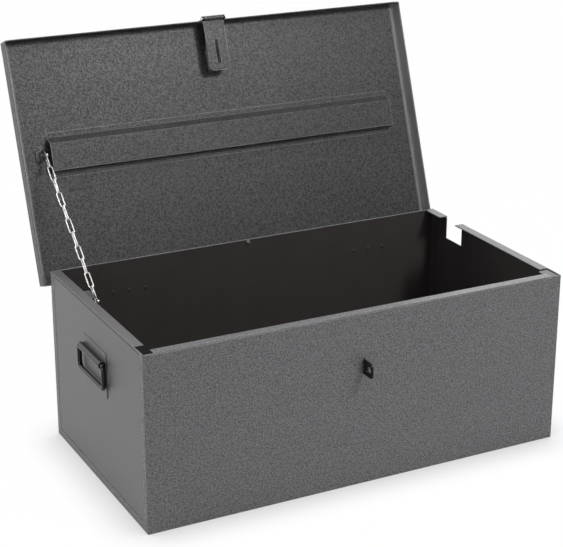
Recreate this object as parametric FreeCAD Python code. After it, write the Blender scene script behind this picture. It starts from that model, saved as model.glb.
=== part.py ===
"""Jobsite storage box: sheet-steel body, hinged tray lid, chain stay, hasp and two drop handles.

Millimetres.  X runs along the box (right is +X), the front faces -Y and Z is up.
The origin is the centre of the body's underside.
The lid and everything riveted to it are drawn shut and then swung open about the hinge axis.
"""
import FreeCAD
import Part
import math
import os

Vector = FreeCAD.Vector

# Body
LENGTH = 762.0
DEPTH = 406.0
RIM_Z = 302.0
SHEET = 1.5
RIM_FLANGE = 17.0
RIM_FLANGE_FRONT_STOP = 38.0
FRONT_FLANGE_STOP = 19.0
CORNER_RETURN = 15.0
SEAM = 0.4
BAND_HEIGHT = 13.0
GROOVE = 2.0
SHADOW_GAP = 1.5
BEND_RADIUS = 1.2
GUSSET_WIDTH = 20.0
GUSSET_LENGTH = 38.0
GUSSET_THICK = 2.0
GUSSET_CHAMFER = 8.0
NOTCH_FRONT_Y = 100.0
NOTCH_REAR_Y = 152.0
NOTCH_BOTTOM_Z = 259.0

# Lid
LID_CLEARANCE = 7.0
LID_SEAT_GAP = 0.5
LID_FLANGE = 24.0
LID_CORNER_RADIUS = 3.0
LID_OPEN_ANGLE = 110.0
HINGE_AXIS_DROP = 29.8
STIFFENER_FROM_LEFT_END = 45.0
STIFFENER_FROM_RIGHT_END = 41.0
STIFFENER_HEIGHT = 16.0
STIFFENER_FOOT = 8.9
STIFFENER_FRONT_Y = -48.8
STIFFENER_FRONT_RUN = 10.8
STIFFENER_CROWN = 47.6
STIFFENER_REAR_RUN = 2.7

# Running fits
PIN_CLEARANCE = 0.06
SIDE_PLAY = 0.35

# Hinges
HINGE_FROM_END = 141.0
HINGE_LENGTH = 90.0
HINGE_KNUCKLES = 5
HINGE_KNUCKLE_RADIUS = 5.0
HINGE_PIN_RADIUS = 2.5
HINGE_PIN_HEAD = 1.2
HINGE_LEAF = 2.0
HINGE_BODY_LEAF_HEIGHT = 40.0
HINGE_BODY_LEAF_TOP_Z = 268.0
HINGE_LID_LEAF_HEIGHT = 20.0
HINGE_RIVET_PITCH = 30.0

# Rivets
RIVET_RADIUS = 2.0
RIVET_HEAD_RADIUS = 3.6
RIVET_HEAD = 1.2

# Hasp, with the axis placed from the shut lid's front flange
HASP_AXIS_OUT = 3.0
HASP_AXIS_DROP = 27.5
HASP_LENGTH = 44.0
HASP_KNUCKLE_RADIUS = 4.3
HASP_PIN_RADIUS = 2.0
HASP_PIN_HEAD_RADIUS = 3.2
HASP_END_KNUCKLE = 4.8
HASP_LEAF = 2.0
HASP_LEAF_HEIGHT = 19.0
HASP_NOTCH_WIDTH = 36.0
HASP_NOTCH_HEIGHT = 3.0
HASP_RIVET_SPACING = 28.0
STRAP_WIDTH = 40.0
STRAP_THICK = 3.0
STRAP_LENGTH = 94.0
STRAP_NECK = 6.0
STRAP_CORNER = 8.0
STRAP_SLOT_START = 38.0
STRAP_SLOT_END = 83.0
STRAP_SLOT_WIDTH = 7.0

# Padlock staple
STAPLE_THICK = 3.0
STAPLE_REACH = 28.0
STAPLE_BOTTOM_Z = 197.0
STAPLE_TOP_Z = 222.0
STAPLE_TOP_RADIUS = 8.0
STAPLE_BOTTOM_RADIUS = 5.0
STAPLE_HOLE_RADIUS = 6.0
STAPLE_HOLE_OUT = 18.0
STAPLE_HOLE_Z = 210.0
STAPLE_BACKING_WIDTH = 28.0
STAPLE_BACKING_MARGIN = 7.0
STAPLE_BACKING_THICK = 2.0

# Drop handles
HANDLE_PLATE_WIDTH = 100.0
HANDLE_PLATE_BOTTOM_Z = 168.0
HANDLE_PLATE_TOP_Z = 246.0
HANDLE_PLATE_CORNER = 3.0
HANDLE_AXIS_Z = 227.0
HANDLE_AXIS_OUT = 7.5
HANDLE_KNUCKLE_RADIUS = 6.0
HANDLE_KNUCKLE_LENGTH = 95.0
HANDLE_WEB_HEIGHT = 8.0
BAIL_WIRE_RADIUS = 4.0
BAIL_WIDTH = 108.0
BAIL_DROP = 40.0
BAIL_TOP_RADIUS = 6.0
BAIL_BOTTOM_RADIUS = 11.0

# Chain stay: a lug inside the lid, a tab under the left rim flange, and links between two rivets
CHAIN_FROM_END = 35.0
CHAIN_LINKS = 11
CHAIN_WIRE_RADIUS = 1.75
CHAIN_INNER_WIDTH = 7.0
CHAIN_PLAY = 0.3
CHAIN_END_LINK_SPAN = 26.9
CHAIN_RIVET_RADIUS = 1.25
CHAIN_RIVET_HEAD_RADIUS = 2.9
CHAIN_RIVET_HEAD = 1.8
LUG_Y = -10.5
LUG_DROP = 13.0
LUG_RADIUS = 9.0
LUG_THICK = 2.0
LUG_FOOT = 12.0
TAB_RIVET_Y = 78.5
TAB_RIVET_Z = 284.0
TAB_FRONT_Y = 58.0
TAB_REAR_Y = 93.0
TAB_LEG_RADIUS = 9.0

# Small screw and nut through the back panel
WALL_SCREW_X = -9.0
WALL_SCREW_Z = 297.0
WALL_SCREW_RADIUS = 2.0
WALL_SCREW_HEAD_RADIUS = 4.0
WALL_SCREW_HEAD = 2.0
WALL_NUT_FLATS = 7.0
WALL_NUT_THICK = 2.4

# Planes and axes that follow from the sizes above
END_X = LENGTH / 2
FRONT_Y = -DEPTH / 2
BACK_Y = DEPTH / 2
HINGE_X = END_X - HINGE_FROM_END
STIFFENER_LEFT_X = -END_X + STIFFENER_FROM_LEFT_END
STIFFENER_RIGHT_X = END_X - STIFFENER_FROM_RIGHT_END
CHAIN_X = -END_X + CHAIN_FROM_END
LID_END_X = END_X + LID_CLEARANCE + SHEET
LID_FRONT_Y = FRONT_Y - LID_CLEARANCE - SHEET
LID_BACK_Y = BACK_Y + LID_CLEARANCE + SHEET
LID_INNER_Z = RIM_Z + LID_SEAT_GAP
LID_TOP_Z = LID_INNER_Z + SHEET
LID_EDGE_Z = LID_TOP_Z - LID_FLANGE
HINGE_Y = LID_BACK_Y - SHEET / 2
HINGE_Z = LID_TOP_Z - HINGE_AXIS_DROP
HASP_Y = LID_FRONT_Y - HASP_AXIS_OUT
HASP_Z = LID_TOP_Z - HASP_AXIS_DROP
HANDLE_X = END_X + HANDLE_AXIS_OUT
LUG_Z = LID_TOP_Z - LUG_DROP
LUG_INNER_X = CHAIN_X - CHAIN_WIRE_RADIUS - CHAIN_PLAY - 0.15
TAB_INNER_X = CHAIN_X - CHAIN_INNER_WIDTH / 2 - 2 * CHAIN_WIRE_RADIUS - 0.5


def block(x0, x1, y0, y1, z0, z1):
    """Rectangular block between two corners."""
    return Part.makeBox(x1 - x0, y1 - y0, z1 - z0, Vector(x0, y0, z0))


def rod(radius, start, end):
    """Round rod between two points."""
    along = end.sub(start)
    return Part.makeCylinder(radius, along.Length, start, along)


def join(shapes):
    """One solid from touching or overlapping pieces."""
    return shapes[0].multiFuse(shapes[1:]).removeSplitter()


def mirrored(shape):
    """The same shape on the other end of the box."""
    return shape.mirror(Vector(0, 0, 0), Vector(1, 0, 0))


def opened(shape):
    """A lid piece swung from shut to fully open."""
    turned = shape.copy()
    turned.rotate(Vector(0, HINGE_Y, HINGE_Z), Vector(1, 0, 0), -LID_OPEN_ANGLE)
    return turned


def profile_along_x(points, x0, x1):
    """Solid with a straight-sided outline in Y and Z, drawn out along X."""
    corners = [Vector(x0, y, z) for y, z in points]
    face = Part.Face(Part.makePolygon(corners + corners[:1]))
    return face.extrude(Vector(x1 - x0, 0, 0))


def softened(shape, radius, wanted):
    """Round the edges for which wanted(edge centre, edge length) holds."""
    edges = [edge for edge in shape.Edges if wanted(edge.CenterOfMass, edge.Length)]
    return shape.makeFillet(radius, edges)


def save(name, pieces):
    """Write one node: a single solid, or a group of separate solids."""
    shape = pieces[0] if len(pieces) == 1 else Part.makeCompound(pieces)
    shape.exportStep("parts/" + name + ".step")


def rivet(start, end, head_radius=RIVET_HEAD_RADIUS, head=RIVET_HEAD, radius=RIVET_RADIUS):
    """Closed rivet whose shank fills the stack from start to end, with a flat head at each side."""
    along = end.sub(start).normalize() * head
    shank = rod(radius, start, end)
    return join([shank, rod(head_radius, start.sub(along), start), rod(head_radius, end, end.add(along))])


def ring_wire(corner_points, corner_radii):
    """Closed path of straight runs and round corners through the given corner points."""
    count = len(corner_points)
    edges = []
    ends = []
    for i in range(count):
        corner = corner_points[i]
        back = corner_points[i - 1].sub(corner).normalize()
        ahead = corner_points[(i + 1) % count].sub(corner).normalize()
        half_angle = back.getAngle(ahead) / 2
        run = corner_radii[i] / math.tan(half_angle)
        middle = back.add(ahead).normalize()
        reach = corner_radii[i] / math.sin(half_angle) - corner_radii[i]
        ends.append((corner.add(back * run), corner.add(middle * reach), corner.add(ahead * run)))
    for i in range(count):
        first, middle, last = ends[i]
        edges.append(Part.Arc(first, middle, last).toShape())
        following = ends[(i + 1) % count][0]
        if last.distanceToPoint(following) > 1e-6:
            edges.append(Part.LineSegment(last, following).toShape())
    return Part.Wire(edges)


def round_wire_ring(path, wire_radius):
    """Solid ring of round wire bent along a closed path."""
    start = path.Edges[-1].valueAt(path.Edges[-1].LastParameter)
    tangent = path.Edges[0].tangentAt(path.Edges[0].FirstParameter)
    section = Part.Wire([Part.makeCircle(wire_radius, start, tangent)])
    return path.makePipeShell([section], True, False)


def front_panel():
    """Front wall with a rim flange, a return round each corner and the staple's slot."""
    flange_end = END_X - FRONT_FLANGE_STOP
    pieces = [
        block(-END_X, END_X, FRONT_Y, FRONT_Y + SHEET, 0, RIM_Z),
        block(-flange_end, flange_end, FRONT_Y, FRONT_Y + RIM_FLANGE, RIM_Z - SHEET, RIM_Z),
    ]
    for x0 in (-END_X, END_X - SHEET):
        pieces.append(block(x0, x0 + SHEET, FRONT_Y, FRONT_Y + CORNER_RETURN, 0, RIM_Z))
    panel = join(pieces)
    panel = softened(panel, BEND_RADIUS, lambda at, size: at.y < FRONT_Y + 0.1 and abs(at.x) > END_X - 0.1)
    panel = softened(panel, BEND_RADIUS, lambda at, size: at.y < FRONT_Y + 0.1 and at.z > RIM_Z - 0.1 and size > 600)
    shadow = block(-flange_end, flange_end, FRONT_Y - 1, FRONT_Y + SHEET / 2, RIM_Z - SHEET - 0.9, RIM_Z - SHEET)
    slot = block(-STAPLE_THICK / 2, STAPLE_THICK / 2, FRONT_Y - 1, FRONT_Y + SHEET + 1, STAPLE_BOTTOM_Z, STAPLE_TOP_Z)
    return panel.cut(shadow).cut(slot)


def back_panel():
    """Back wall with a return round each corner and its rivet and screw holes."""
    pieces = [block(-END_X, END_X, BACK_Y - SHEET, BACK_Y, 0, RIM_Z)]
    for x0 in (-END_X, END_X - SHEET):
        top = RIM_Z - SHEET - SHADOW_GAP
        pieces.append(block(x0, x0 + SHEET, BACK_Y - CORNER_RETURN, BACK_Y, 0, top))
    panel = join(pieces)
    for point in hinge_rivet_points(BACK_Y, HINGE_BODY_LEAF_TOP_Z - HINGE_BODY_LEAF_HEIGHT / 2 - 3):
        panel = panel.cut(rod(RIVET_RADIUS, point - Vector(0, 5, 0), point + Vector(0, 5, 0)))
    screw = Vector(WALL_SCREW_X, BACK_Y, WALL_SCREW_Z)
    return panel.cut(rod(WALL_SCREW_RADIUS, screw - Vector(0, 5, 0), screw + Vector(0, 5, 0)))


def end_panel():
    """Right-hand end wall: one pressed sheet whose field stands flush with the corner returns."""
    outer = END_X
    middle = END_X - SHEET
    inner = END_X - 2 * SHEET
    field_front = FRONT_Y + CORNER_RETURN + SEAM
    field_rear = BACK_Y - CORNER_RETURN - GROOVE
    field_bottom = BAND_HEIGHT + GROOVE
    field_top = RIM_Z - SHEET - SHADOW_GAP
    flange_front = FRONT_Y + RIM_FLANGE_FRONT_STOP
    pieces = [
        block(inner, middle, FRONT_Y + SHEET, BACK_Y - SHEET, SHEET, RIM_Z - SHEET),
        block(middle, outer, field_front, field_rear, field_bottom, field_top),
        block(middle, outer, field_front, field_front + 4, BAND_HEIGHT, RIM_Z),
        block(middle, outer, field_front, flange_front, field_top, RIM_Z),
        block(outer - RIM_FLANGE, outer, flange_front, BACK_Y - SHEET, RIM_Z - SHEET, RIM_Z),
    ]
    panel = join(pieces)
    hollow = block(inner - 1, middle, field_front + SHEET, field_rear - SHEET, field_bottom + SHEET, field_top - SHEET)
    return panel.cut(hollow)


def cable_notch():
    """Space cut from the right-hand end wall and its rim flange."""
    return block(END_X - RIM_FLANGE - 1, END_X + 1, NOTCH_FRONT_Y, NOTCH_REAR_Y, NOTCH_BOTTOM_Z, RIM_Z + 1)


def floor_pan():
    """Floor with upturned edges: outside the end walls, inside the front and back walls."""
    side = BACK_Y - CORNER_RETURN - SEAM
    inner_x = END_X - SHEET
    pieces = [
        block(-inner_x, inner_x, FRONT_Y + SHEET, BACK_Y - SHEET, 0, SHEET),
        block(-END_X, END_X, -side, side, 0, SHEET),
    ]
    for x0 in (-END_X, inner_x):
        pieces.append(block(x0, x0 + SHEET, -side, side, 0, BAND_HEIGHT))
    for y0 in (FRONT_Y + SHEET, BACK_Y - 2 * SHEET):
        pieces.append(block(-inner_x + SHEET, inner_x - SHEET, y0, y0 + SHEET, 0, BAND_HEIGHT))
    return join(pieces)


def corner_gusset():
    """Flat plate under the rim flanges at the right front corner."""
    x1 = END_X - 2 * SHEET
    y0 = FRONT_Y + SHEET
    z1 = RIM_Z - SHEET
    plate = block(x1 - GUSSET_WIDTH, x1, y0, y0 + GUSSET_LENGTH, z1 - GUSSET_THICK, z1)

    def inner_corner(at, size):
        return at.x < x1 - GUSSET_WIDTH + 0.1 and at.y > y0 + GUSSET_LENGTH - 0.1 and size < GUSSET_THICK + 0.1

    return plate.makeChamfer(GUSSET_CHAMFER, [e for e in plate.Edges if inner_corner(e.CenterOfMass, e.Length)])


def lid_panel():
    """Shut lid: a shallow tray turned upside down, with rivet holes and a hasp notch."""
    outside = block(-LID_END_X, LID_END_X, LID_FRONT_Y, LID_BACK_Y, LID_EDGE_Z, LID_TOP_Z)
    outside = softened(outside, LID_CORNER_RADIUS, lambda at, size: size < LID_FLANGE + 0.1)
    outside = softened(outside, BEND_RADIUS, lambda at, size: at.z > LID_TOP_Z - 0.1)
    inside = block(-LID_END_X + SHEET, LID_END_X - SHEET, LID_FRONT_Y + SHEET, LID_BACK_Y - SHEET,
                   LID_EDGE_Z - 10, LID_INNER_Z)
    inside = softened(inside, LID_CORNER_RADIUS - SHEET, lambda at, size: size < LID_FLANGE + 10)
    tray = outside.cut(inside)
    notch = block(-HASP_NOTCH_WIDTH / 2, HASP_NOTCH_WIDTH / 2, LID_FRONT_Y - 1, LID_FRONT_Y + SHEET + 1,
                  LID_EDGE_Z - 1, LID_EDGE_Z + HASP_NOTCH_HEIGHT)
    tray = tray.cut(notch)
    for point in hinge_rivet_points(LID_BACK_Y, LID_EDGE_Z + LID_FLANGE / 2 + 1):
        tray = tray.cut(rod(RIVET_RADIUS, point - Vector(0, 5, 0), point + Vector(0, 5, 0)))
    for point in hasp_rivet_points():
        tray = tray.cut(rod(RIVET_RADIUS, point - Vector(0, 5, 0), point + Vector(0, 5, 0)))
    return tray


def lid_stiffener():
    """Hat-section rail across the inside of the lid, steeper on its rear side."""
    foot_z = LID_INNER_Z - SHEET
    crown_z = LID_INNER_Z - STIFFENER_HEIGHT
    y = STIFFENER_FRONT_Y
    path = [(y, foot_z)]
    steps = (
        (STIFFENER_FOOT, foot_z),
        (STIFFENER_FRONT_RUN, crown_z),
        (STIFFENER_CROWN, crown_z),
        (STIFFENER_REAR_RUN, foot_z),
        (STIFFENER_FOOT, foot_z),
    )
    for run, z in steps:
        y += run
        path.append((y, z))
    return profile_along_x(path + thickened(path, SHEET)[::-1], STIFFENER_LEFT_X, STIFFENER_RIGHT_X)


def thickened(path, thickness):
    """The path's other face: each corner moved to keep the strip's thickness."""
    moved = []
    for i in range(len(path)):
        before = direction(path[max(i - 1, 0)], path[max(i - 1, 0) + 1])
        after = direction(path[min(i, len(path) - 2)], path[min(i, len(path) - 2) + 1])
        normal_y = -(before[1] + after[1])
        normal_z = before[0] + after[0]
        scale = thickness * 2 / (normal_y ** 2 + normal_z ** 2)
        moved.append((path[i][0] + normal_y * scale, path[i][1] + normal_z * scale))
    return moved


def direction(start, end):
    """Unit step from one outline point to the next."""
    span = math.hypot(end[0] - start[0], end[1] - start[1])
    return ((end[0] - start[0]) / span, (end[1] - start[1]) / span)


def hinge_rivet_points(y, z):
    """Centres of both hinges' rivets in one wall."""
    points = []
    for x in (-HINGE_X, HINGE_X):
        for i in (-1, 0, 1):
            points.append(Vector(x + i * HINGE_RIVET_PITCH, y, z))
    return points


def hasp_rivet_points():
    """Centres of the hasp's rivets in the lid's front flange."""
    z = LID_EDGE_Z + LID_FLANGE / 2 - 1
    return [Vector(x, LID_FRONT_Y, z) for x in (-HASP_RIVET_SPACING / 2, HASP_RIVET_SPACING / 2)]


def hinge_knuckle_spans(x, parity):
    """Start and end of every second knuckle of a hinge centred on x."""
    pitch = HINGE_LENGTH / HINGE_KNUCKLES
    start = x - HINGE_LENGTH / 2
    spans = []
    for i in range(parity, HINGE_KNUCKLES, 2):
        trim_start = SIDE_PLAY / 2 if i > 0 else 0
        trim_end = SIDE_PLAY / 2 if i < HINGE_KNUCKLES - 1 else 0
        spans.append((start + i * pitch + trim_start, start + (i + 1) * pitch - trim_end))
    return spans


def hinge_knuckle(x0, x1, neck):
    """One knuckle round the hinge axis with its neck, bored for the pin."""
    tube = rod(HINGE_KNUCKLE_RADIUS, Vector(x0, HINGE_Y, HINGE_Z), Vector(x1, HINGE_Y, HINGE_Z))
    bore = rod(HINGE_PIN_RADIUS + PIN_CLEARANCE, Vector(x0 - 1, HINGE_Y, HINGE_Z), Vector(x1 + 1, HINGE_Y, HINGE_Z))
    return join([tube, profile_along_x(neck, x0, x1)]).cut(bore)


def hinge_body_leaf(x):
    """Leaf on the outside of the back wall."""
    z1 = HINGE_BODY_LEAF_TOP_Z
    y0 = BACK_Y
    y1 = BACK_Y + HINGE_LEAF
    pieces = [block(x - HINGE_LENGTH / 2, x + HINGE_LENGTH / 2, y0, y1, z1 - HINGE_BODY_LEAF_HEIGHT, z1)]
    neck = [(y0, z1 - 8), (y1, z1 - 8), (y1 + 4, z1 + 1.2), (y1 + 1.4, z1 + 5.2), (y0, z1 + 1.5)]
    for x0, x1 in hinge_knuckle_spans(x, 0):
        pieces.append(hinge_knuckle(x0, x1, neck))
    leaf = join(pieces)
    for point in hinge_rivet_points(y1, z1 - HINGE_BODY_LEAF_HEIGHT / 2 - 3):
        leaf = leaf.cut(rod(RIVET_RADIUS, point - Vector(0, 5, 0), point + Vector(0, 5, 0)))
    return leaf


def hinge_lid_leaf(x):
    """Leaf on the outside of the shut lid's rear flange."""
    z0 = LID_EDGE_Z + 2
    y0 = LID_BACK_Y
    y1 = LID_BACK_Y + HINGE_LEAF
    pieces = [block(x - HINGE_LENGTH / 2, x + HINGE_LENGTH / 2, y0, y1, z0, z0 + HINGE_LID_LEAF_HEIGHT)]
    neck = [(y0, z0 - 5), (y1, z0 - 5), (y1, z0 + 1), (y0, z0 + 1)]
    for x0, x1 in hinge_knuckle_spans(x, 1):
        pieces.append(hinge_knuckle(x0, x1, neck))
    leaf = join(pieces)
    for point in hinge_rivet_points(y1, LID_EDGE_Z + LID_FLANGE / 2 + 1):
        leaf = leaf.cut(rod(RIVET_RADIUS, point - Vector(0, 5, 0), point + Vector(0, 5, 0)))
    return leaf


def hinge_pin(x):
    """Pin with a head at each end, seated against the outer knuckles."""
    x0 = x - HINGE_LENGTH / 2
    x1 = x + HINGE_LENGTH / 2
    head_radius = HINGE_PIN_RADIUS + 1
    return rivet(Vector(x0, HINGE_Y, HINGE_Z), Vector(x1, HINGE_Y, HINGE_Z), head_radius, HINGE_PIN_HEAD,
                 HINGE_PIN_RADIUS)


def hinge_body_rivets():
    """Rivets through the body leaves and the back wall."""
    points = hinge_rivet_points(BACK_Y, HINGE_BODY_LEAF_TOP_Z - HINGE_BODY_LEAF_HEIGHT / 2 - 3)
    return [rivet(p - Vector(0, SHEET, 0), p + Vector(0, HINGE_LEAF, 0)) for p in points]


def hinge_lid_rivets():
    """Rivets through the lid leaves and the lid's rear flange."""
    points = hinge_rivet_points(LID_BACK_Y, LID_EDGE_Z + LID_FLANGE / 2 + 1)
    return [rivet(p - Vector(0, SHEET, 0), p + Vector(0, HINGE_LEAF, 0)) for p in points]


def hasp_mount():
    """Hasp plate on the lid's front flange with a short knuckle at each end."""
    half = HASP_LENGTH / 2
    y0 = LID_FRONT_Y - HASP_LEAF
    z0 = LID_EDGE_Z + HASP_NOTCH_HEIGHT
    pieces = [block(-half, half, y0, LID_FRONT_Y, z0, LID_EDGE_Z + HASP_LEAF_HEIGHT)]
    for x0 in (-half, half - HASP_END_KNUCKLE):
        x1 = x0 + HASP_END_KNUCKLE
        pieces.append(block(x0, x1, y0, LID_FRONT_Y, HASP_Z + HASP_PIN_RADIUS, z0))
        pieces.append(rod(HASP_KNUCKLE_RADIUS, Vector(x0, HASP_Y, HASP_Z), Vector(x1, HASP_Y, HASP_Z)))
    mount = join(pieces).cut(hasp_bore())
    for point in hasp_rivet_points():
        mount = mount.cut(rod(RIVET_RADIUS, point - Vector(0, 5, 0), point + Vector(0, 5, 0)))
    return mount


def hasp_bore():
    """Hole along the hasp's axis."""
    reach = Vector(HASP_LENGTH, 0, 0)
    centre = Vector(0, HASP_Y, HASP_Z)
    return rod(HASP_PIN_RADIUS + PIN_CLEARANCE, centre - reach, centre + reach)


def hasp_pin():
    """Pin with a loose head at each end."""
    half = Vector(HASP_LENGTH / 2 + SIDE_PLAY, 0, 0)
    centre = Vector(0, HASP_Y, HASP_Z)
    return rivet(centre - half, centre + half, HASP_PIN_HEAD_RADIUS, HINGE_PIN_HEAD, HASP_PIN_RADIUS)


def hasp_strap():
    """Slotted strap, drawn lying back under the shut lid as it rests against the open one."""
    neck_half = HASP_LENGTH / 2 - HASP_END_KNUCKLE - SIDE_PLAY
    z1 = HASP_Z + HASP_KNUCKLE_RADIUS
    z0 = z1 - STRAP_THICK
    half = STRAP_WIDTH / 2
    plate = block(-half, half, HASP_Y + STRAP_NECK, HASP_Y + STRAP_LENGTH, z0, z1)
    plate = softened(plate, STRAP_CORNER,
                     lambda at, size: at.y > HASP_Y + STRAP_LENGTH - 0.1 and size < STRAP_THICK + 0.1)
    knuckle = rod(HASP_KNUCKLE_RADIUS, Vector(-neck_half, HASP_Y, HASP_Z), Vector(neck_half, HASP_Y, HASP_Z))
    neck = block(-neck_half, neck_half, HASP_Y, HASP_Y + STRAP_NECK, z0, z1)
    slot_half = STRAP_SLOT_WIDTH / 2
    slot = block(-slot_half, slot_half, HASP_Y + STRAP_SLOT_START, HASP_Y + STRAP_SLOT_END, z0 - 1, z1 + 1)
    slot = softened(slot, slot_half - 0.01, lambda at, size: abs(size - STRAP_THICK - 2) < 0.1)
    return join([plate, neck, knuckle]).cut(slot).cut(hasp_bore())


def hasp_rivets():
    """Rivets through the hasp plate and the lid's front flange."""
    return [rivet(p - Vector(0, HASP_LEAF, 0), p + Vector(0, SHEET, 0)) for p in hasp_rivet_points()]


def padlock_staple():
    """Drilled blade through the front wall with its backing plate inside."""
    half = STAPLE_THICK / 2
    blade = block(-half, half, FRONT_Y - STAPLE_REACH, FRONT_Y + SHEET, STAPLE_BOTTOM_Z, STAPLE_TOP_Z)
    tip = FRONT_Y - STAPLE_REACH + 0.1
    blade = softened(blade, STAPLE_TOP_RADIUS, lambda at, size: at.y < tip and at.z > STAPLE_TOP_Z - 0.1)
    blade = softened(blade, STAPLE_BOTTOM_RADIUS, lambda at, size: at.y < tip and at.z < STAPLE_BOTTOM_Z + 0.1)
    margin = STAPLE_BACKING_MARGIN
    backing = block(-STAPLE_BACKING_WIDTH / 2, STAPLE_BACKING_WIDTH / 2, FRONT_Y + SHEET,
                    FRONT_Y + SHEET + STAPLE_BACKING_THICK, STAPLE_BOTTOM_Z - margin, STAPLE_TOP_Z + margin)
    centre = Vector(0, FRONT_Y - STAPLE_HOLE_OUT, STAPLE_HOLE_Z)
    hole = rod(STAPLE_HOLE_RADIUS, centre - Vector(5, 0, 0), centre + Vector(5, 0, 0))
    return join([blade, backing]).cut(hole)


def handle_plate():
    """Backing plate on the outside of the right-hand end wall."""
    half = HANDLE_PLATE_WIDTH / 2
    plate = block(END_X, END_X + SHEET, -half, half, HANDLE_PLATE_BOTTOM_Z, HANDLE_PLATE_TOP_Z)
    return softened(plate, HANDLE_PLATE_CORNER, lambda at, size: size < SHEET + 0.1)


def handle_knuckle():
    """Sleeve that carries the bail, welded to the backing plate."""
    half = Vector(0, HANDLE_KNUCKLE_LENGTH / 2, 0)
    centre = Vector(HANDLE_X, 0, HANDLE_AXIS_Z)
    tube = rod(HANDLE_KNUCKLE_RADIUS, centre - half, centre + half)
    web = block(END_X + SHEET, HANDLE_X - BAIL_WIRE_RADIUS / 2, -half.y, half.y,
                HANDLE_AXIS_Z - HANDLE_WEB_HEIGHT / 2, HANDLE_AXIS_Z + HANDLE_WEB_HEIGHT / 2)
    bore = rod(BAIL_WIRE_RADIUS + PIN_CLEARANCE, centre - half * 2, centre + half * 2)
    return join([tube, web]).cut(bore)


def handle_bail():
    """Closed ring of round wire hanging in its sleeve."""
    half = BAIL_WIDTH / 2
    top = HANDLE_AXIS_Z
    bottom = HANDLE_AXIS_Z - BAIL_DROP
    corners = [Vector(HANDLE_X, -half, top), Vector(HANDLE_X, half, top),
               Vector(HANDLE_X, half, bottom), Vector(HANDLE_X, -half, bottom)]
    radii = [BAIL_TOP_RADIUS, BAIL_TOP_RADIUS, BAIL_BOTTOM_RADIUS, BAIL_BOTTOM_RADIUS]
    return round_wire_ring(ring_wire(corners, radii), BAIL_WIRE_RADIUS)


def lid_chain_lug():
    """Arched ear on a foot inside the lid."""
    x1 = LUG_INNER_X
    x0 = x1 - LUG_THICK
    y0 = LUG_Y - LUG_RADIUS
    y1 = LUG_Y + LUG_RADIUS
    pieces = [
        block(x0, x1, y0, y1, LUG_Z, LID_INNER_Z),
        rod(LUG_RADIUS, Vector(x0, LUG_Y, LUG_Z), Vector(x1, LUG_Y, LUG_Z)),
        block(x1 - LUG_FOOT, x1, y0, y1, LID_INNER_Z - LUG_THICK, LID_INNER_Z),
    ]
    hole = rod(CHAIN_RIVET_RADIUS, Vector(x0 - 1, LUG_Y, LUG_Z), Vector(x1 + 1, LUG_Y, LUG_Z))
    return join(pieces).cut(hole)


def chain_tab():
    """Angle tab under the left rim flange with a drilled leg hanging inside the box."""
    x0 = -END_X + 2 * SHEET
    x1 = TAB_INNER_X
    z1 = RIM_Z - SHEET
    y0 = TAB_RIVET_Y - TAB_LEG_RADIUS
    y1 = TAB_RIVET_Y + TAB_LEG_RADIUS
    pieces = [
        block(x0, x1, TAB_FRONT_Y, TAB_REAR_Y, z1 - SHEET, z1),
        block(x1 - SHEET, x1, y0, y1, TAB_RIVET_Z, z1),
        rod(TAB_LEG_RADIUS, Vector(x1 - SHEET, TAB_RIVET_Y, TAB_RIVET_Z), Vector(x1, TAB_RIVET_Y, TAB_RIVET_Z)),
    ]
    hole = rod(CHAIN_RIVET_RADIUS, Vector(x1 - 5, TAB_RIVET_Y, TAB_RIVET_Z), Vector(x1 + 5, TAB_RIVET_Y, TAB_RIVET_Z))
    return join(pieces).cut(hole)


def chain_rivet(y, z, plate_outer_x):
    """Rivet from the outer face of a drilled ear to just past the end link."""
    inner_x = CHAIN_X + CHAIN_WIRE_RADIUS + SIDE_PLAY
    return rivet(Vector(plate_outer_x, y, z), Vector(inner_x, y, z), CHAIN_RIVET_HEAD_RADIUS, CHAIN_RIVET_HEAD,
                 CHAIN_RIVET_RADIUS)


def open_lug_point():
    """Where the lid's chain rivet stands with the lid open."""
    angle = math.radians(-LID_OPEN_ANGLE)
    y = LUG_Y - HINGE_Y
    z = LUG_Z - HINGE_Z
    return (HINGE_Y + y * math.cos(angle) - z * math.sin(angle), HINGE_Z + y * math.sin(angle) + z * math.cos(angle))


def link_path(inner_length, flat):
    """Centre line of a link with its length along Y, lying flat or standing on edge."""
    reach = inner_length / 2 + CHAIN_WIRE_RADIUS
    half = CHAIN_INNER_WIDTH / 2 + CHAIN_WIRE_RADIUS
    corners = []
    for along, across in ((-reach, -half), (reach, -half), (reach, half), (-reach, half)):
        corners.append(Vector(across, along, 0) if flat else Vector(0, along, across))
    return ring_wire(corners, [half, half, half, half])


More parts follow.
